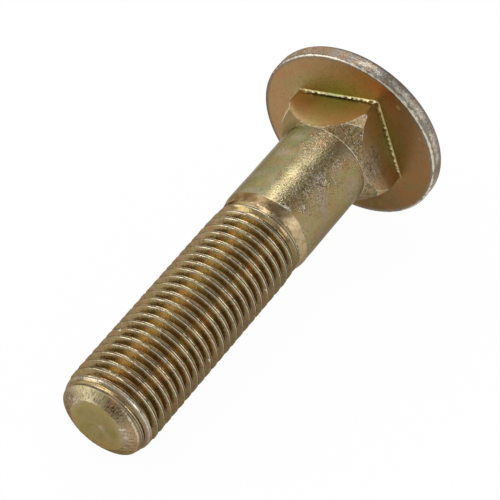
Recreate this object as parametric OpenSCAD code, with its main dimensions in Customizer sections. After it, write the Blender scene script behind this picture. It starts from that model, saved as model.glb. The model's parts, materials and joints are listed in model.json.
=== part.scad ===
// Carriage bolt: domed round head, square neck, plain shank and a rolled thread, forged in one piece.
// The bolt is drawn along its own axis, from its bearing face to its point, and then laid on its side.
// It rests on the edge of its head and on the end of its thread. Sizes are in millimetres.

/* [Head] */
// Diameter of the head
head_d = 23.1; // [20:0.1:30]
// Height of the head from its bearing face to the top of its dome
head_h = 5.7; // [4.5:0.1:8]
// Thickness of the rim, up to where the dome starts
rim_h = 1.8; // [1.2:0.1:3]
// Radius of the rim's edge at the bearing face
rim_edge_r = 0.3; // [0.1:0.05:0.5]
// Radius where the rim rolls over into the dome
rim_top_r = 0.8; // [0.3:0.1:1.2]

/* [Square neck] */
// Width of the neck across its flats
neck_w = 11.2; // [10.6:0.1:13]
// Radius of the neck's four long edges
neck_edge_r = 0.4; // [0.1:0.1:1]
// Height at which the corners start to lean in
neck_corner_h = 2; // [1:0.1:2.8]
// Height at which the lean of the corners steepens
neck_break_h = 3.6; // [3:0.1:4.4]
// Lean of the corners below that height, in degrees from the bolt's axis
neck_lean = 22; // [10:1:30]
// Height at which the corners have run out into the shank
neck_h = 5.5; // [4.8:0.1:8]

/* [Shank] */
// Diameter of the plain shank
shank_d = 11.1; // [10.7:0.1:12.4]
// Distance from the bearing face to the end of the plain shank
shank_l = 17.8; // [10:0.1:20]

/* [Thread] */
// Outside diameter of the thread, drawn as the plain envelope of its crests
thread_d = 11; // [10.6:0.05:12.4]
// Diameter of the waist between the shank and the thread
waist_d = 10.6; // [9:0.1:10.6]
// Length of the shoulder that tapers from the shank to the waist
shoulder_l = 1.4; // [0.8:0.1:4]
// Length over which the first crests rise from the waist to the full thread
runout_l = 2.4; // [1:0.1:5]

/* [Point] */
// Length of the bolt from its bearing face to its end
bolt_l = 50.8; // [35:0.1:100]
// Length of the tapered lead at the end of the thread
lead_l = 2; // [1:0.1:4]
// Diameter at the end of that lead
lead_d = 9.9; // [8:0.1:10.4]
// Length of the chamfer between the lead and the flat end
chamfer_l = 0.8; // [0.4:0.1:2]
// Diameter of the flat end
end_d = 6.8; // [4:0.1:7.8]

/* [Lying pose] */
// Turn of the bolt about its own axis as it lies, in degrees; at 0 two flats of its neck face up and down
bolt_turn = 104; // [0:1:359]

/* [Hidden] */
$fn = 128;
plating = [0.63, 0.53, 0.29];

head_r = head_d/2;
thread_r = thread_d/2;

// Dome: the sphere through the top of the head and the upper edge of the rim
dome_rise = head_h - rim_h;
dome_r = (head_r*head_r + dome_rise*dome_rise)/(2*dome_rise);
dome_z = dome_r - head_h;
// Centre of the round that is tangent to the rim and to the dome
roll_x = head_r - rim_top_r;
roll_z = dome_z - sqrt(pow(dome_r - rim_top_r, 2) - roll_x*roll_x);
// Where that round meets the dome
roll_end = dome_r/(dome_r - rim_top_r);

// Reach of a neck corner from the axis, at its full height and where its lean steepens
corner_reach = neck_w/sqrt(2) - neck_edge_r*(sqrt(2) - 1);
break_reach = corner_reach - (neck_break_h - neck_corner_h)*tan(neck_lean);
// How far the cut that leans the corners starts outside them
cut_over = 0.1;

// Stations along the axis
waist_z = shank_l + shoulder_l;
thread_z = waist_z + runout_l;
chamfer_z = bolt_l - chamfer_l;
lead_z = chamfer_z - lead_l;

// Lying pose: the level line that touches the round of the head's edge and one rim of the point,
// whichever of the point's rims meets it first
rims = [[lead_z, thread_r], [chamfer_z, lead_d/2], [bolt_l, end_d/2]];
touch_r = head_r - rim_edge_r;
function tilt(z, r) =
    atan2(touch_r - r, z + rim_edge_r) + asin(rim_edge_r/norm([z + rim_edge_r, touch_r - r]));
lie_angle = min([for (rim = rims) tilt(rim[0], rim[1])]);
axis_height = touch_r*cos(lie_angle) + rim_edge_r*(1 - sin(lie_angle));
// Reach of the laid bolt past the middle of its bearing face, to its end and to its dome
end_reach = max([for (rim = rims) rim[0]*cos(lie_angle) + rim[1]*sin(lie_angle)]);
dome_reach = dome_r - dome_z*cos(lie_angle);
middle_x = (end_reach - dome_reach)/2;

// Half section of the head: a flat disc with a rounded lower edge, cut by the dome
module head_section() {
    difference() {
        intersection() {
            translate([0, -head_h]) square([head_r, head_h]);
            translate([0, dome_z]) circle(dome_r);
            union() {
                translate([0, -head_h]) square([head_r - rim_edge_r, head_h]);
                translate([0, -head_h]) square([head_r, head_h - rim_edge_r]);
                translate([head_r - rim_edge_r, -rim_edge_r]) circle(rim_edge_r);
            }
        }
        rim_corner();
    }
}

// Sliver between the sharp corner of rim and dome and the round that replaces it
module rim_corner() {
    difference() {
        polygon([
            [roll_x, roll_z],
            [head_r + rim_top_r, roll_z],
            [head_r + rim_top_r, roll_z - 2*rim_top_r],
            [roll_x*roll_end, dome_z + (roll_z - dome_z)*roll_end]
        ]);
        translate([roll_x, roll_z]) circle(rim_top_r);
    }
}

module head() {
    rotate_extrude() head_section();
}

// Square with rounded corners
module neck_square() {
    inner = neck_w - 2*neck_edge_r;
    square([neck_w, inner], center = true);
    square([inner, neck_w], center = true);
    for (x = [-1, 1], y = [-1, 1])
        translate([x*inner/2, y*inner/2]) circle(neck_edge_r);
}

// Turned envelope that cuts the neck's corners back in two slopes until they meet the shank
module neck_envelope() {
    rotate_extrude() polygon([
        [0, -rim_h],
        [corner_reach + cut_over, -rim_h],
        [corner_reach + cut_over, neck_corner_h - cut_over/tan(neck_lean)],
        [break_reach, neck_break_h],
        [shank_d/2, neck_h],
        [0, neck_h]
    ]);
}

module neck() {
    intersection() {
        translate([0, 0, -rim_h]) linear_extrude(neck_h + rim_h) neck_square();
        neck_envelope();
    }
}

// Plain shank, shoulder, waist, thread envelope and chamfered point
module shaft() {
    rotate_extrude() polygon([
        [0, -rim_h],
        [shank_d/2, -rim_h],
        [shank_d/2, shank_l],
        [waist_d/2, waist_z],
        [thread_r, thread_z],
        [thread_r, lead_z],
        [lead_d/2, chamfer_z],
        [end_d/2, bolt_l],
        [0, bolt_l]
    ]);
}

module carriage_bolt() {
    color(plating)
        translate([middle_x, 0, axis_height]) rotate([0, -90 - lie_angle, 0]) rotate([0, 0, bolt_turn]) {
            head();
            neck();
            shaft();
        }
}

carriage_bolt();
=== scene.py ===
"""Carriage bolt of forged steel, yellow passivated zinc plating, lying on a white table.

The whole forging is one closed surface. It is worked out in the bolt's own frame: a height along the axis,
from the bearing face towards the end, an angle round the axis, from the upper side, and a radius. Sizes are
in millimetres until the points go into the mesh. Places round the bolt are in degrees from the upper side,
and for the camera they run from the left edge of the bolt, at about 60, to the right one, at about -120.
"""
import json
from math import cos, pi, radians, sin, sqrt, tan

import bmesh
import bpy
import numpy as np
from mathutils import Matrix, Vector


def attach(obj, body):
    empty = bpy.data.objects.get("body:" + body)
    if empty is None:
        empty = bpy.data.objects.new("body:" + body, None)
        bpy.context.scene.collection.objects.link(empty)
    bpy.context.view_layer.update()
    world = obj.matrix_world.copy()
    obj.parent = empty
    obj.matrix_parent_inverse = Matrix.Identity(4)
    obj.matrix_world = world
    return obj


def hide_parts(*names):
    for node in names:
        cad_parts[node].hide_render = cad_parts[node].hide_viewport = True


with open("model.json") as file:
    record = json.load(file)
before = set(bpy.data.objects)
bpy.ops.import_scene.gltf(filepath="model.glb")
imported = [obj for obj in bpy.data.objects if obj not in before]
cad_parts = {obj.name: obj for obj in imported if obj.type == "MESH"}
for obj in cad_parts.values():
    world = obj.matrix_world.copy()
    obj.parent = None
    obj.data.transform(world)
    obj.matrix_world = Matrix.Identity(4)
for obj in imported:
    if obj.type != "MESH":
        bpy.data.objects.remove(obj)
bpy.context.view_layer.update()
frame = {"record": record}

MM = 0.001

# Sizes of the forging, as in the part's source

HEAD_R, HEAD_H, RIM_H = 11.55, 5.7, 1.8
RIM_EDGE_R, RIM_TOP_R = 0.3, 0.8
NECK_HALF, NECK_EDGE_R = 5.6, 0.4
NECK_CORNER_H, NECK_BREAK_H, NECK_H = 2.0, 3.6, 5.5
NECK_LEAN = radians(22)
SHANK_R, SHANK_L = 5.55, 17.8
WAIST_R, WAIST_Z = 5.3, 19.2
THREAD_R = 5.5
CHAMFER_Z, BOLT_L = 50.0, 50.8
LEAD_R, END_R = 4.95, 3.4
BOLT_TURN = 104

# Places round the bolt of the neck's edges and flats that the camera sees, and one edge as an angle

LEFT_EDGE, UPPER_FLAT, SEEN_EDGE, NEAR_FLAT, RIGHT_EDGE = (BOLT_TURN - 45*n for n in range(1, 6))
NECK_CORNER = radians(BOLT_TURN + 45)

# Thread: the height of one crest at one angle sets where the helix runs, and the last crest is rolled flat

PITCH, THREAD_DEPTH = 1.27, 0.68
CREST_Z, CREST_ANGLE = 34.92, radians(-30.5)
LAST_CREST, LAST_CREST_Z, LAST_SQUEEZE = 11, 48.9, 0.72

# Half of a crest from its seam down to the groove: distance from its middle, depth, and how far it is a lip

HALF_CREST = (
    (0.0, 0.03, 0.0), (0.08, 0.008, 0.15), (0.13, 0.0, 1.0),
    (0.18, 0.06, 0.3), (0.33, 0.35, 0.0), (0.53, 0.64, 0.0))

# Radius of the crests along the bolt: they rise out of the waist and fall along the lead

CREST_STATIONS = (WAIST_Z, 20.0, 21.0, 22.0, 47.6, 48.6, 49.3, CHAMFER_Z)
CREST_RADII = (WAIST_R, 5.35, 5.44, THREAD_R, THREAD_R, 5.42, 5.2, LEAD_R)

# Nicks in the crests: place round the bolt and height, and their width round and along it and their depth

NICKS = ((-84.5, 26.15), (-88, 37.57), (33, 41.6))
NICK_TURN, NICK_W, NICK_DEPTH = 4, 0.3, 0.12

# What the forging left behind: the flash of the die round the neck, with the square margin outside it

FLASH_HALF, FLASH_H, FLASH_FOOT = 5.88, 0.24, 0.6
MARGIN, MARGIN_EDGE_R = 0.6, 1.6

# Unevenness of the rim, the underside, the neck's slopes, the shank, the crests and the chamfer

RIM_INSET, RIM_BUMP, DISH = 0.02, 0.025, 0.03
BREAK_SKEW, CONE_BUMP = 0.5, 0.04
SHANK_EDGE_LOW, SHANK_EDGE_HIGH, SHANK_EDGE_WAVE, SHANK_SWAY = 0.1, 0.36, 0.04, 0.016
CREST_BUMP = 0.02
TOOTH_DEPTH, CHAMFER_BULGE = 0.2, 0.1
SOFT_W, SOFT_H = 0.7, 0.05

# Colours of the yellow film as sRGB, and of the zinc where it is rubbed off; in places BROWN, DARK and CREAM
# are laid on as painted shade and highlight

KHAKI, OLIVE, GOLD, TAN = "#978457", "#868247", "#A6946A", "#AC8A62"
BROWN, RUST, LILAC, ZINC = "#8A6A44", "#A8683A", "#9A8E86", "#E0D8C4"
PALE, DARK, GREY, EDGE_TINT = "#C9B78F", "#3A3222", "#8E8B88", "#CBC3B3"
MOSS, CREAM, PURPLE, SILVER = "#8E9455", "#E2D7A8", "#7C5648", "#D6CBBE"

# Colours that one zone alone has, painted highlight and shade among them

FLAT_TAN, FLAT_STRAW, FLAT_SCUFF = "#BD996D", "#C4B488", "#B0A490"
FACET_CREAM, CONE_KHAKI = "#E6C694", "#A89468"
SHANK_BUFF, SHANK_SHADE, SHANK_SPOT, SHOULDER_BUFF = "#A0936F", "#6A6C50", "#CFC8C0", "#C0AC8A"
THREAD_MAUVE, THREAD_HIGHLIGHT = "#95817A", "#C4AC76"
CHAMFER_MAUVE, CHAMFER_HIGHLIGHT, CHAMFER_GREY = "#9E8E7E", "#EADCB0", "#B5A898"
SOFT_OLIVE, SOFT_PALE, END_OLIVE = "#A0915F", "#B0A184", "#9C8D63"
WHITE, TABLE_WHITE = "#FFFFFF", "#F8F8F8"

# Patterns of the plating; real pits and scratches are finer than the camera shows, so they are drawn coarser

CLOUD, BLOTCH, MOTTLE, PIT, PIT_DEPTH = 3.0, 0.9, 0.4, 0.2, 0.04
SCRATCH_W, SCRATCH_STRETCH = 0.11, 12.0
PALE_SCRATCH_TURN, DARK_SCRATCH_TURN = (0.0, -0.69, 0.99), (0.0, 0.44, -0.68)

# Roughness of the plating

SATIN, FORGED, DRAWN, ROLLED, TURNED = 0.33, 0.3, 0.14, 0.12, 0.24

# Columns round the bolt, crowded together at the four edges of the neck

COLUMNS = 224
CROWDING = 0.4
even = np.linspace(0, 2*pi, COLUMNS + 1)
ANGLE = even - CROWDING*np.sin(4*(even - NECK_CORNER))/4

# Distance at which points are one, and the angle from which an edge is sharp

WELD = 0.001
SHARP = radians(32)


def axes_of_bolt(record):
    """Centre of the bearing face, the axis towards the end, and the directions up and aside square to it."""
    mounts = {m["name"]: m for m in record["mounts"]}
    axis = np.array(mounts["thread"]["axis"])
    on_axis = np.array(mounts["thread"]["pos_m"])
    on_face = np.array(mounts["bearing_face"]["pos_m"])
    centre = on_axis + axis*((on_face - on_axis) @ axis)
    upper = np.array([0.0, 0.0, 1.0]) - axis*axis[2]
    upper /= np.linalg.norm(upper)
    return centre, axis, upper, np.cross(axis, upper)


def waves(height, lobes, length, seed, count=14):
    """A seeded sum of sine waves over angle and height, about -1 to 1: each has a whole number of lobes round
    the bolt, up to the given one, so that it closes, and is no shorter along the axis than a given length."""
    draw = np.random.default_rng(seed)
    turns = draw.integers(max(1, lobes//3), lobes + 1, count)
    along = draw.uniform(-2*pi/length, 2*pi/length, count)
    phase = draw.uniform(0, 2*pi, count)
    angle, height = np.broadcast_arrays(ANGLE, height)
    return np.sin(angle[..., None]*turns + height[..., None]*along + phase).sum(-1)*sqrt(2/count)/2


def ripples(lobes, seed, count=14):
    """Waves that run round the bolt only."""
    return waves(0.0, lobes, 1.0, seed, count)


def bell(x, middle, width):
    """Bell curve: 1 in the middle, 1/e at one width from it."""
    return np.exp(-((x - middle)/width)**2)


def at(middle, width):
    """Bell curve round the bolt, with its middle and its width in degrees."""
    away = (ANGLE - radians(middle) + pi) % (2*pi) - pi
    return bell(away, 0, radians(width))


def ease(x):
    """Smooth step from 0 to 1."""
    x = np.clip(x, 0, 1)
    return x*x*(3 - 2*x)


def from_edge():
    """Angle from the nearest of the neck's four edges."""
    return (ANGLE - NECK_CORNER + pi/4) % (pi/2) - pi/4


def square_outline(half, edge_r):
    """Radius of a square with rounded edges, by angle: half over the cosine of the angle from the middle of a
    flat, and near an edge the far crossing of the ray with the edge's round."""
    off_edge = from_edge()
    off_flat = pi/4 - np.abs(off_edge)
    reach = (half - edge_r)*sqrt(2)
    across = np.minimum(reach*np.abs(np.sin(off_edge)), edge_r)
    rounded = reach*np.cos(off_edge) + np.sqrt(edge_r**2 - across**2)
    on_flat = np.tan(off_flat) < (half - edge_r)/half
    return np.where(on_flat, half/np.cos(off_flat), rounded)


def column(*values):
    """Values by row, as a column that spreads over all angles."""
    return np.array(values, float).reshape(-1, 1)


def band(radius, height, colour, worn=0.0, pitted=0.0, rough=FORGED):
    """Rows of the surface: radius and height by row and column, with the colour of the film, how far it is
    worn down to the zinc, how pitted it is and how rough."""
    shape = np.broadcast_shapes(np.shape(radius), np.shape(height), (1, COLUMNS + 1))
    plain = [np.broadcast_to(x, shape).astype(float) for x in (radius, height, worn, pitted, rough)]
    return plain + [np.broadcast_to(colour, (*shape, 3))]


def linear(code):
    """sRGB hex colour as linear values."""
    c = np.array([int(code[i:i + 2], 16) for i in (1, 3, 5)])/255
    return np.where(c <= 0.04045, c/12.92, ((c + 0.055)/1.055)**2.4)


def film(base, *patches):
    """Colour of the film by row and column: a base, as one colour or by column, and over it patches of other
    colours by weight."""
    colour = linear(base) if isinstance(base, str) else base
    for code, weight in patches:
        weight = np.clip(weight, 0, 1)[..., None]
        colour = colour*(1 - weight) + linear(code)*weight
    return colour


def dome_and_rim():
    """Sphere cap from the top of the head, the round that rolls over into the rim, the rim and its edge."""
    rise = HEAD_H - RIM_H
    dome_r = (HEAD_R**2 + rise**2)/(2*rise)
    dome_z = dome_r - HEAD_H
    roll_r = HEAD_R - RIM_TOP_R
    roll_z = dome_z - sqrt((dome_r - RIM_TOP_R)**2 - roll_r**2)
    meet = np.arctan2(roll_r, dome_z - roll_z)
    cap = column(*np.linspace(0, meet, 22))
    top = column(*np.linspace(meet, pi/2, 7)[1:])
    wall = column(*np.linspace(roll_z, -RIM_EDGE_R, 5)[1:])
    edge = column(*np.linspace(pi/2, pi, 6)[1:])
    bumps = RIM_BUMP*waves(wall, 30, 0.8, 4)
    edge_r = HEAD_R - RIM_EDGE_R + RIM_EDGE_R*np.sin(edge)
    edge_z = -RIM_EDGE_R*(1 + np.cos(edge))

    rubbed = 0.12*ripples(25, 3)
    patchy = 0.3*ripples(90, 7, 40)
    drift = 0.5 + 0.5*waves(cap*dome_r, 3, 9, 5)
    # On the far left the rim's lower edge is darker and less worn: painted shade along that edge
    far_left = at(95, 45)
    top_side = at(22, 30)
    cap_film = film(KHAKI, (TAN, drift))
    side = film(GREY, (BROWN, 0.15 + 0.35*top_side + 0.3*ripples(60, 6, 24)))
    wall_worn = column(0.45, 0.5, 0.45, 0.25)*(1 - 0.3*top_side) + rubbed
    edge_worn = (column(0.3, 0.6, 0.85, 0.7, 0.0) + rubbed + patchy)*(1 - 0.8*far_left)
    return [
        band(dome_r*np.sin(cap), dome_z - dome_r*np.cos(cap), cap_film, 0.05, 0.5),
        band(roll_r + RIM_TOP_R*np.sin(top), roll_z - RIM_TOP_R*np.cos(top), side, 0.35 + rubbed, 0.9),
        band(HEAD_R - RIM_INSET + bumps, wall, side, wall_worn, 1.2),
        band(edge_r, edge_z, film(side, (DARK, 0.5*far_left)), edge_worn, 0.8),
    ]


def flash():
    """How ragged the flash of the die is by angle, broken off at two edges of the neck, and how far it lies
    on the upper side, where a step runs along it."""
    jagged = np.clip(0.7 + 0.6*ripples(112, 12, 40), 0.25, 1)
    whole = 1 - at(LEFT_EDGE, 7) - at(RIGHT_EDGE, 7)
    return jagged*whole, at(UPPER_FLAT, 38)


def underside():
    """Flat ring that runs from the head's round edge to the square of the neck, with the thin flash that the
    die left round the neck: each row is the square of one half-width, and outer rows turn into circles."""
    inward = column(*np.linspace(0, 1, 13)[1:])
    outer = square_outline(FLASH_HALF + MARGIN, MARGIN_EDGE_R)
    ring = (HEAD_R - RIM_EDGE_R)*(1 - inward) + outer*inward
    dish = DISH*waves(ring, 6, 8, 11)*ease(4*inward)
    ragged, upper_side = flash()

    mossy = np.clip(upper_side + 0.6*at(NEAR_FLAT, 30), 0, 1)
    near_neck = bell(ring, outer, 1.2 + upper_side)*mossy
    right_half_rust_and_shade = at(-115, 60)
    # Browner on the right half and dark towards the bottom of the ring: painted shade, the bolt's shadow on
    # the table as these parts would reflect it; the rust mottle on the right half is the film's own
    ground = film(TAN, (BROWN, 0.7*right_half_rust_and_shade), (BROWN, 0.2*upper_side), (DARK, 0.52*at(-165, 32)))
    rusty = at(-28, 14)*ease(1.6 - 2*inward)
    mottled = waves(ring, 24, 1.5, 13, 24)
    ring_film = film(ground, (MOSS, 0.9*near_neck), (RUST, 0.6*rusty + 0.35*right_half_rust_and_shade*mottled))
    scuffs = at(-43, 3.5)*bell(ring, 10.2, 0.45) + at(-69, 3)*bell(ring, 10.4, 0.4)
    faint = at(SEEN_EDGE - 11.46, 9)
    rows = [band(ring, dish, ring_film, 0.6*scuffs, 0.45 + 0.7*near_neck, SATIN)]
    # Each row's half-width and edge round, then its height and wear on the upper side and on the near side
    for half, edge_r, upper, upper_worn, near, near_worn in (
        (FLASH_HALF + 0.3, 0.7, 0.0, 0.0, 0.0, 0.0),
        (FLASH_HALF + 0.2, 0.3, 0.0, 0.0, 0.0, 0.1),
        (FLASH_HALF + 0.12, 0.2, 0.7, 0.7, 0.7, 0.7),
        (FLASH_HALF, 0.15, 1.0, 1.0, 1.0, 0.9),
        (FLASH_HALF - 0.08, 0.15, 0.8, 0.8, 0.95, 0.8),
        (FLASH_HALF - 0.12, 0.2, -0.5, 0.0, 0.85, 0.5),
        (NECK_HALF + 0.03, 0.3, -0.8, 0.0, FLASH_FOOT, 0.1),
    ):
        height = FLASH_H*ragged*(upper*upper_side + near*(1 - upper_side))
        worn = ragged*(upper_worn*upper_side + near_worn*(1 - upper_side))*(1 - 0.45*faint)
        flash_film = film(ground, (MOSS, mossy), (CREAM, worn))
        rows.append(band(square_outline(half, edge_r), height, flash_film, 0.85*worn, 0.3, SATIN))
    return rows


def neck():
    """Square neck: its flats rise to the curve where the turned cut-back meets them, and two slopes then run
    from that curve in to the round shank. The line between the slopes is skewed at each edge of the neck."""
    outline = square_outline(NECK_HALF, NECK_EDGE_R)
    reach = NECK_HALF*sqrt(2) - NECK_EDGE_R*(sqrt(2) - 1)
    break_h = NECK_BREAK_H + BREAK_SKEW*np.clip(from_edge()/radians(9), -1, 1)
    break_r = reach - (break_h - NECK_CORNER_H)*tan(NECK_LEAN)
    on_lean = NECK_CORNER_H + (reach - outline)/tan(NECK_LEAN)
    on_cone = break_h + (break_r - outline)/(break_r - SHANK_R)*(NECK_H - break_h)
    meet = np.where(outline > break_r, on_lean, on_cone)
    turn = np.maximum(meet, break_h)

    def envelope(height):
        """Radius of the two slopes at a height: straight lines down to the break and on to the shank."""
        lean_r = reach - (height - NECK_CORNER_H)*tan(NECK_LEAN)
        cone_r = break_r + (SHANK_R - break_r)*(height - break_h)/(NECK_H - break_h)
        return np.where(height < break_h, lean_r, cone_r)

    ragged, upper_side = flash()
    foot = FLASH_H*FLASH_FOOT*ragged*(1 - upper_side)
    flat = foot + (meet - foot)*column(0, 0.12, 0.25, 0.4, 0.55, 0.7, 0.82, 0.9, 0.97, 1)
    lean = meet + (turn - meet)*column(0.06, 0.3, 0.65, 0.94, 1)
    cone = turn + (NECK_H - turn)*column(0.04, 0.15, 0.3, 0.45, 0.6, 0.75, 0.88, 0.96, 1)
    bumps = CONE_BUMP*waves(cone, 60, 0.7, 21, 24)*ease((NECK_H - cone)/0.5)*ease((cone - turn)/0.5)

    upper_flat = at(UPPER_FLAT, 30)
    near_flat = at(NEAR_FLAT, 32)
    left_end = at(LEFT_EDGE - 14.32, 16)
    left_cone = at(LEFT_EDGE, 40)
    ends = at(SEEN_EDGE, 14) + at(LEFT_EDGE, 14)
    pale = at(LEFT_EDGE - 14.32, 34)*bell(flat, meet, 0.55)
    scuffed = at(NEAR_FLAT - 5.73, 28)*ease((flat - 1.2)/1.5)
    low = bell(flat, 0, 0.9)*np.clip(upper_flat + near_flat, 0, 1)
    shadowed = (1 - left_cone)*waves(cone, 40, 1.2, 22, 24)
    fold_shadow = left_cone*ease((cone - NECK_H + 0.9)/0.6)
    flat_film = film(
        FLAT_TAN, (MOSS, 0.5*upper_flat), (RUST, 0.5*ends*upper_flat), (BROWN, 0.6*left_end),
        (FLAT_STRAW, 0.9*near_flat), (MOSS, 0.6*low), (PALE, 0.6*pale), (FLAT_SCUFF, 0.6*scuffed))
    # The darkening on the left slope, strongest in its fold, where less zinc shows too, is painted shadow
    cone_film = film(CONE_KHAKI, (DARK, 0.35*shadowed + 0.25*left_cone + 0.3*fold_shadow))
    flat_worn = np.maximum(column(*[0]*8, 0.3, 0.9), 0.35*pale)
    lean_worn = column(0.6, 0.2, 0.2, 0.3, 0.8)
    cone_worn = column(0.35, *[0.1]*6, 0.25, 0.85)*(1 - np.clip(1.2*fold_shadow, 0, 1))
    return [
        band(outline, flat, flat_film, flat_worn, 0.3 + 1.7*scuffed),
        band(envelope(lean), lean, film(FACET_CREAM), lean_worn, 1.6),
        band(envelope(cone) + bumps, cone, cone_film, cone_worn, 1.9 - 1.2*left_cone),
    ]


def shank():
    """Plain shank, slightly wavy, its wavy lower edge, and the shoulder that eases down to the waist."""
    edge = SHANK_L + SHANK_EDGE_LOW - SHANK_EDGE_HIGH*at(-42, 22) + SHANK_EDGE_WAVE*ripples(9, 31)
    body = NECK_H + (edge - NECK_H)*column(0.006, *np.linspace(0, 1, 25)[1:-1], 0.985, 1)
    down = column(0.06, 0.15, 0.3, 0.45, 0.6, 0.75, 0.88, 1)
    fall = edge + (WAIST_Z - edge)*down
    body_r = SHANK_R + SHANK_SWAY*waves(body, 10, 4, 32)
    fall_r = SHANK_R + (WAIST_R - SHANK_R)*(0.6*ease(down) + 0.4*down)

    # Far side: the shank greener and darker there and the shoulder browner and darker, partly the film's tint
    # and partly painted shade
    shaded_far_side = at(25, 32)
    top_side = at(-22, 22)
    shaded = at(-27, 7)
    # Cream along the lower part of the highlight: painted highlight
    painted_highlight = at(-10, 9)*ease((body - 10)/4)
    # Near the neck, across the highlight, the film is darker and more pitted: dark streaks, and partly
    # painted shade that dims the highlight there
    neck_streaks_and_shade = at(-10, 16)*bell(body, NECK_H, 3.0)
    # A glint on the shank's lower edge at the highlight, drawn as bare zinc: painted highlight
    glint = at(-28, 13)*bell(body, edge, 0.5)
    spots = at(-37, 5)*bell(body, 11.5, 0.7)
    reddish = at(-51, 9)*bell(body, 7.2, 1.4)
    scratched = at(-44, 20)*bell(body, 13, 5.5)
    brownish = at(-50, 30)*(0.6 + 0.4*waves(body, 5, 6, 33))
    green = at(-70, 13)*(0.6 + 0.6*waves(body, 12, 3, 38))
    blots = waves(body, 30, 1.5, 37, 30)
    clumps = 0.8 + 0.7*waves(body, 14, 2.5, 36, 20) + 0.6*neck_streaks_and_shade + 0.45*at(-22, 26)
    mottled = waves(fall, 30, 0.8, 35, 24)
    body_film = film(
        SHANK_BUFF, (SHANK_SHADE, 0.9*shaded_far_side), (BROWN, 0.4*brownish), (LILAC, 0.6*waves(body, 8, 2.5, 34)),
        (DARK, 0.4*neck_streaks_and_shade + 0.2*shaded), (MOSS, 0.2*blots + 0.25*green), (RUST, -0.12*blots + 0.25*reddish),
        (SHANK_SPOT, 0.6*spots), (CREAM, 0.3*painted_highlight))
    # The shoulder's brown and dark on its upper side are painted shade; the brown mottle over it is the
    # film's own
    fall_film = film(
        SHOULDER_BUFF, (BROWN, 0.8*shaded_far_side + 0.5*top_side + 0.4*mottled), (DARK, 0.45*shaded_far_side),
        (DARK, 0.55*top_side))
    body_wear_and_glint = np.maximum(column(*[0]*25, 0.3), 0.7*glint + 0.5*spots)
    body_pitted = np.clip(clumps, 0.2, 1.5) + 0.7*scratched
    return [
        band(body_r, body, body_film, body_wear_and_glint, body_pitted, DRAWN),
        band(fall_r, fall, fall_film, 0.1 + 0.2*mottled, 1.0, TURNED),
    ]


def thread():
    """Rolled right-hand thread: each row follows the helix, so its height is its start plus a pitch for each
    turn, held between the waist and the chamfer, and its depth below the crests is fixed by its place in the
    pitch. A crest is two lips with the seam of the rolling between them. The last crest is rolled flat and
    wide, and the rows past its middle are squeezed together."""
    mirrored = [(-place, below, lip) for place, below, lip in HALF_CREST[:0:-1]]
    profile = np.array([*mirrored, *HALF_CREST, (PITCH/2, THREAD_DEPTH, 0.0)])
    first = int(np.floor((WAIST_Z - CREST_Z)/PITCH)) - 1
    last = int(np.ceil((CHAMFER_Z - CREST_Z)/PITCH)) + 1
    turns = column(*np.repeat(np.arange(first, last + 1), len(profile))) + (ANGLE - CREST_ANGLE)/(2*pi)
    place, below, lip = (column(*np.tile(values, last + 1 - first)) for values in profile.T)
    flattened = np.exp(-((turns - LAST_CREST)/0.35)**4)
    on_crest = below < 0.1
    # Grooves: browner all round and darker on the right: painted shade in the recesses
    groove_shade = below > 0.3
    free = CREST_Z + turns*PITCH + place*(1 + 0.2*flattened*on_crest)
    free = np.minimum(free, LAST_CREST_Z + (free - LAST_CREST_Z)*LAST_SQUEEZE)
    height = np.clip(free, WAIST_Z, CHAMFER_Z)
    crest = np.interp(height, CREST_STATIONS, CREST_RADII)
    run_in = WAIST_Z - 0.5 + 0.8*np.cos(ANGLE + radians(50))
    run_out = CHAMFER_Z + 0.05
    depth = ease((height - run_in)/(1.6*PITCH))*ease((run_out - height)/(1.6*PITCH))
    nicks = sum(at(turn, NICK_TURN)*bell(height, z, NICK_W) for turn, z in NICKS)
    uneven = (CREST_BUMP*waves(height, 40, 2, 41, 24) - NICK_DEPTH*nicks)*on_crest*depth

    chipped = np.clip(0.95 + 0.35*waves(height, 40, 0.9, 43, 30), 0, 1)
    smeared = at(48, 30) + at(-112, 26)
    worn = np.maximum(lip, 0.4*flattened*on_crest)*depth**0.5*chipped*(1 - 0.85*smeared)
    worn = worn*(1 - 0.5*(place < 0)*at(-85, 30))
    worn = np.maximum(worn, 0.9*nicks*on_crest)
    seam = (lip < 0.2)*on_crest*(1 - flattened)
    drift = waves(height, 56, 0.9, 42, 30)*depth
    stain = waves(height, 44, 1.1, 44, 30)*depth
    outer_sides = at(58, 18) + 0.4*at(-108, 24)
    shaded = 0.4*at(-92, 36) + 0.15*at(18, 16)
    # The straw band round the bolt at about -9 degrees is a painted highlight
    colours = film(
        GOLD, (THREAD_MAUVE, outer_sides), (RUST, 0.5*drift), (MOSS, -1.0*drift), (PURPLE, 0.8*stain - 0.15),
        (DARK, -0.5*stain - 0.1), (THREAD_HIGHLIGHT, at(-9, 14)*(0.45 + 0.3*drift)), (DARK, shaded),
        (BROWN, 0.3*groove_shade), (PALE, 0.15*at(-18, 35)), (DARK, 0.3*groove_shade*at(-52, 20)),
        (LILAC, 0.2*flattened), (SILVER, 0.45*flattened*on_crest*chipped), (DARK, 0.6*seam),
        (SILVER, 0.9*lip**2*(1 - 0.7*smeared)), (BROWN, 0.5*lip*at(50, 26)))
    return [band(crest - below*depth + uneven, height, colours, worn, 0.6, ROLLED)]


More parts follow.
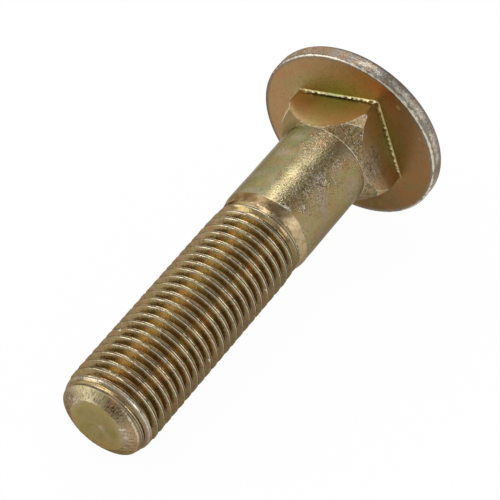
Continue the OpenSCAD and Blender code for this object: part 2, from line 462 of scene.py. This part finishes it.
def point():
    """Chamfer with the radial serrations of the cropped end, its soft edge and the flat end."""
    down = column(0.06, 0.15, 0.28, 0.42, 0.56, 0.7, 0.82, 0.92, 0.97)
    middle = np.sin(pi*down)
    teeth = waves(down, 105, 0.4, 51, 40)
    cut = TOOTH_DEPTH*np.minimum(np.abs(teeth), 0.8)*middle
    slope_r = LEAD_R + (END_R - LEAD_R)*down
    slope_z = CHAMFER_Z + (BOLT_L - CHAMFER_Z)*(down + CHAMFER_BULGE*middle) - cut
    soft = column(0.0, 0.3, 0.6, 0.85, 1.0)
    soft_r = END_R - SOFT_W*soft
    soft_z = BOLT_L - SOFT_H*(1 - soft)**2
    face_r = (END_R - SOFT_W)*column(*np.linspace(1, 0, 8)[1:])

    far_left = at(62, 45)
    upper_side = at(14, 24)
    near_side = at(-34, 22)
    far_right = at(-92, 32)
    rubbed = (0.55*at(48, 16) + 0.6*at(-82, 24))*(0.8 + 0.5*ripples(50, 52, 24))
    rim_line = at(-70, 45)*bell(down, 0.1, 0.12)
    pits = np.clip(2.6*teeth*middle, 0, 0.9)*np.clip(0.65*upper_side + near_side, 0, 1)
    # Cream on the upper side, with some bare zinc, is a painted highlight; the broad dark on the near side is
    # painted shade
    slope_film = film(
        KHAKI, (CHAMFER_MAUVE, 0.8*far_left), (CHAMFER_HIGHLIGHT, upper_side), (CHAMFER_GREY, 0.7*far_right),
        (TAN, 0.9*far_right*(1 - down)), (DARK, 0.5*near_side + pits), (GREY, 0.2*near_side))
    soft_film = film(
        SOFT_OLIVE, (SOFT_PALE, (0.7*far_left + 0.6*rubbed)*(1 - soft)),
        (CHAMFER_GREY, 0.8*far_right*(1 - soft)), (TAN, 0.6*at(-150, 35)))
    face_film = film(
        END_OLIVE, (OLIVE, 0.5*waves(face_r, 5, 3, 53)), (BROWN, 0.35*waves(face_r, 9, 1.5, 54)),
        (SILVER, 0.5*at(-100, 35)*bell(face_r, 0.5, 0.3)))
    slope_worn = np.maximum(np.maximum(rubbed*bell(down, 0.85, 0.3), 0.7*rim_line), 0.25*upper_side)
    soft_worn = (0.15*far_left + rubbed)*(1 - 0.6*soft)
    return [
        band(slope_r, slope_z, slope_film, slope_worn, 0.8, TURNED),
        band(soft_r, soft_z, soft_film, soft_worn, 0.5),
        band(face_r, BOLT_L, face_film, 0.0, 0.3, SATIN),
    ]


def forging(name):
    """The bolt as one closed mesh: all bands of rows from the top of the dome to the middle of the end, with
    the seam, the poles and the rows that run together welded."""
    bands = dome_and_rim() + underside() + neck() + shank() + thread() + point()
    radius, height, worn, pitted, rough, colour = (np.concatenate(parts) for parts in zip(*bands))
    centre, axis, upper, side = axes_of_bolt(frame["record"])
    across = (radius*np.cos(ANGLE))[..., None]*upper + (radius*np.sin(ANGLE))[..., None]*side
    points = centre + (height[..., None]*axis + across)*MM
    index = np.arange(radius.size).reshape(radius.shape)
    quads = np.stack([index[:-1, :-1], index[1:, :-1], index[1:, 1:], index[:-1, 1:]], axis=-1)
    mesh = bpy.data.meshes.new(name)
    mesh.from_pydata(points.reshape(-1, 3), [], quads.reshape(-1, 4))
    for label, values in (("worn", worn), ("pitted", pitted), ("rough", rough)):
        layer = mesh.attributes.new(label, "FLOAT", "POINT")
        layer.data.foreach_set("value", values.ravel().astype(np.float32))
    opaque = np.concatenate([colour, np.ones((*radius.shape, 1))], axis=-1).astype(np.float32)
    mesh.attributes.new("film", "FLOAT_COLOR", "POINT").data.foreach_set("color", opaque.ravel())
    work = bmesh.new()
    work.from_mesh(mesh)
    bmesh.ops.remove_doubles(work, verts=work.verts, dist=WELD*MM)
    bmesh.ops.recalc_face_normals(work, faces=work.faces)
    work.to_mesh(mesh)
    work.free()
    mesh.polygons.foreach_set("use_smooth", np.ones(len(mesh.polygons), bool))
    mesh.set_sharp_from_angle(angle=SHARP)
    piece = bpy.data.objects.new(name, mesh)
    bpy.context.scene.collection.objects.link(piece)
    return piece


def add(tree, kind, inputs=None, **settings):
    """A node of that kind with its settings, its inputs set to values or linked to sockets, or to the first
    output of other nodes."""
    made = tree.nodes.new(kind)
    for key, value in settings.items():
        setattr(made, key, value)
    for key, value in (inputs or {}).items():
        if isinstance(value, bpy.types.Node):
            value = value.outputs[0]
        if isinstance(value, bpy.types.NodeSocket):
            tree.links.new(value, made.inputs[key])
        else:
            made.inputs[key].default_value = value
    return made


def empty_material(name):
    """A new material without nodes, and its node tree."""
    material = bpy.data.materials.new(name)
    material.use_nodes = True
    material.node_tree.nodes.clear()
    return material, material.node_tree


def rgba(code):
    """sRGB hex colour as the linear value of a colour socket."""
    return (*linear(code).tolist(), 1.0)


def per_mm(size):
    """Texture scale, per metre, at which one feature is about that many millimetres wide."""
    return 1/(size*MM)


def yellow_zinc():
    """Steel with electroplated zinc and a yellow chromate film: a satin metal whose thin film drifts in
    colour, speckled with fine pits, scratched where it is pitted most and rubbed to bare zinc on edges."""
    material, tree = empty_material("yellow_passivated_zinc")
    place = add(tree, "ShaderNodeTexCoord").outputs["Object"]
    worn, pitted, rough = (
        add(tree, "ShaderNodeAttribute", attribute_name=name).outputs["Fac"]
        for name in ("worn", "pitted", "rough"))
    colour = add(tree, "ShaderNodeAttribute", attribute_name="film").outputs["Color"]
    clouds, blotches, mottle, pits = (
        add(tree, "ShaderNodeTexNoise", {
            "Vector": place, "Scale": per_mm(size), "Detail": detail, "Roughness": 0.6})
        for size, detail in ((CLOUD, 3.0), (BLOTCH, 3.0), (MOTTLE, 4.0), (PIT, 2.0)))
    directions = [
        add(tree, "ShaderNodeMapping", {
            "Vector": place, "Rotation": turn, "Scale": (SCRATCH_STRETCH, 1.0, 1.0)}, vector_type="TEXTURE")
        for turn in (PALE_SCRATCH_TURN, DARK_SCRATCH_TURN)]
    pale_lines, dark_lines = (
        add(tree, "ShaderNodeTexNoise", {"Vector": along, "Scale": per_mm(SCRATCH_W), "Detail": 1.0})
        for along in directions)

    # Fine specks follow the pitting up to 0.8, and coarse specks and scratches come in where it goes past 1
    fine = add(tree, "ShaderNodeMath", {0: pits, 1: -7.0, 2: 3.2}, operation="MULTIPLY_ADD", use_clamp=True)
    light = add(tree, "ShaderNodeMath", {0: pitted, 1: 0.8}, operation="MINIMUM")
    fine = add(tree, "ShaderNodeMath", {0: fine, 1: light}, operation="MULTIPLY")
    coarse = add(tree, "ShaderNodeMath", {0: mottle, 1: -4.5, 2: 2.45},
                 operation="MULTIPLY_ADD", use_clamp=True)
    heavy = add(tree, "ShaderNodeMath", {0: pitted, 1: 1.0}, operation="SUBTRACT", use_clamp=True)
    specks = add(tree, "ShaderNodeMath", {0: heavy, 1: coarse, 2: fine}, operation="MULTIPLY_ADD")
    scratched = add(tree, "ShaderNodeMath", {0: heavy, 1: 0.8}, operation="MULTIPLY")
    # Bare zinc: the wear, broken up by blotches and pits
    bare = add(tree, "ShaderNodeMath", {0: worn, 1: 3.0, 2: -3.0}, operation="MULTIPLY_ADD")
    for pattern in (blotches, pits):
        bare = add(tree, "ShaderNodeMath", {0: pattern, 1: 1.8, 2: bare}, operation="MULTIPLY_ADD")
    # Layers over the film's colour: a pattern, its gain and shift, the share of it that shows, and its colour
    for pattern, gain, shift, share, code in (
        (clouds, 4.0, -2.0, 0.3, RUST),
        (blotches, 4.0, -2.1, 0.45, OLIVE),
        (mottle, 0.9, -0.45, 1.0, RUST),
        (mottle, -1.2, 0.6, 1.0, OLIVE),
        (specks, 0.6, 0.0, 1.0, DARK),
        (pale_lines, 12.0, -6.9, scratched, SILVER),
        (dark_lines, 12.0, -6.9, scratched, DARK),
        (bare, 1.0, 0.0, 1.0, ZINC),
    ):
        amount = add(tree, "ShaderNodeMath", {0: pattern, 1: gain, 2: shift},
                     operation="MULTIPLY_ADD", use_clamp=True)
        amount = add(tree, "ShaderNodeMath", {0: amount, 1: share}, operation="MULTIPLY")
        layer = add(tree, "ShaderNodeMix", {"Factor": amount, 6: colour, 7: rgba(code)}, data_type="RGBA")
        colour = layer.outputs[2]

    relief = add(tree, "ShaderNodeMath", {0: pits, 1: pitted}, operation="MULTIPLY")
    bump = add(tree, "ShaderNodeBump", {"Strength": 1.0, "Distance": PIT_DEPTH*MM, "Height": relief})
    dulled = add(tree, "ShaderNodeMath", {0: blotches, 1: 0.1, 2: rough}, operation="MULTIPLY_ADD")
    plating = add(tree, "ShaderNodeBsdfPrincipled", {
        "Base Color": colour, "Metallic": 1.0, "Specular Tint": rgba(EDGE_TINT), "Roughness": dulled,
        "Normal": bump})
    add(tree, "ShaderNodeOutputMaterial", {"Surface": plating})
    return material


def table_white():
    """White lacquer: matt under the lamps, but most of it glows plain white to the camera, and half of it in
    reflections, so that the ground is white and keeps a faint shadow."""
    material, tree = empty_material("white_table")
    path = add(tree, "ShaderNodeLightPath").outputs
    bounced = add(tree, "ShaderNodeMath", {0: path["Is Glossy Ray"], 1: path["Is Transmission Ray"]},
                  operation="MAXIMUM")
    bounced = add(tree, "ShaderNodeMath", {0: bounced, 1: 0.5}, operation="MULTIPLY")
    share = add(tree, "ShaderNodeMath", {0: path["Is Camera Ray"], 1: 0.97, 2: bounced},
                operation="MULTIPLY_ADD")
    matt = add(tree, "ShaderNodeBsdfDiffuse", {"Color": rgba(TABLE_WHITE)})
    glow = add(tree, "ShaderNodeEmission", {"Color": rgba(WHITE), "Strength": 1.0})
    both = add(tree, "ShaderNodeMixShader", {0: share, 1: matt, 2: glow})
    add(tree, "ShaderNodeOutputMaterial", {"Surface": both})
    return material


def table():
    """Square table top, 3 m wide, at the height on which the bolt lies."""
    half = 1.5
    corners = [(-half, -half, 0), (half, -half, 0), (half, half, 0), (-half, half, 0)]
    mesh = bpy.data.meshes.new("table")
    mesh.from_pydata(corners, [], [(0, 1, 2, 3)])
    mesh.materials.append(table_white())
    top = bpy.data.objects.new("table", mesh)
    bpy.context.scene.collection.objects.link(top)


def softbox(name, towards, width, height, radiance, across=(1, 0, 0)):
    """Rectangular lamp at a fixed distance from the bolt in one direction, facing it, with its width along
    another: its power is its radiance times pi times its area."""
    lamp = bpy.data.lights.new(name, "AREA")
    lamp.shape = "RECTANGLE"
    lamp.size, lamp.size_y = width, height
    lamp.energy = radiance*pi*width*height
    box = bpy.data.objects.new(name, lamp)
    distance = 0.4
    away = Vector(towards).normalized()
    along = (Vector(across) - away*away.dot(Vector(across))).normalized()
    turn = Matrix((along, away.cross(along), away)).transposed()
    box.matrix_world = Matrix.Translation(away*distance) @ turn.to_4x4()
    box.visible_camera = False
    bpy.context.scene.collection.objects.link(box)


def studio():
    """Plain soft light: a pale room, a long softbox above and behind the bolt, a panel behind it, a softbox
    on either side, a weak panel beyond the right one and a small weak one above the camera."""
    world = bpy.data.worlds.new("pale_room")
    world.use_nodes = True
    room = world.node_tree.nodes["Background"].inputs
    room["Color"].default_value = rgba(WHITE)
    room["Strength"].default_value = 0.5
    bpy.context.scene.world = world
    softbox("overhead", (0.29, 0.246, 0.925), 0.36, 0.15, 2.65, across=(-0.7, 0.71, 0))
    softbox("back_panel", (0.55, 0.72, 0.42), 0.3, 0.37, 1.0)
    softbox("left_side", (-0.55, 0.72, 0.42), 0.3, 0.2, 2.5)
    softbox("right_side", (0.1, -0.87, 0.46), 0.15, 0.19, 2.3)
    softbox("right_panel", (0.55, -0.8, 0.28), 0.2, 0.26, 0.5)
    softbox("front_top", (-0.28, -0.32, 0.9), 0.2, 0.2, 0.4)


def camera():
    """Long lens that looks down along the bolt from beyond its end."""
    aim = Vector((1.16, -0.26, 8.99))*MM
    heading, dip, distance = radians(33.15), radians(39.72), 274.9*MM
    looks = Vector((cos(heading)*cos(dip), sin(heading)*cos(dip), -sin(dip)))
    turn = looks.to_track_quat("-Z", "Y").to_matrix().to_4x4()
    data = bpy.data.cameras.new("camera")
    data.sensor_width, data.lens = 36.0, 177.1
    data.clip_start, data.clip_end = 0.01, 10.0
    made = bpy.data.objects.new("camera", data)
    made.matrix_world = Matrix.Translation(aim - looks*distance) @ turn
    bpy.context.scene.collection.objects.link(made)
    bpy.context.scene.camera = made


bolt = forging("plated_bolt")
bolt.data.materials.append(yellow_zinc())
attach(bolt, "root")
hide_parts("carriage_bolt")
table()
studio()
camera()
bpy.context.scene.view_settings.view_transform = "Standard"

bpy.context.view_layer.update()
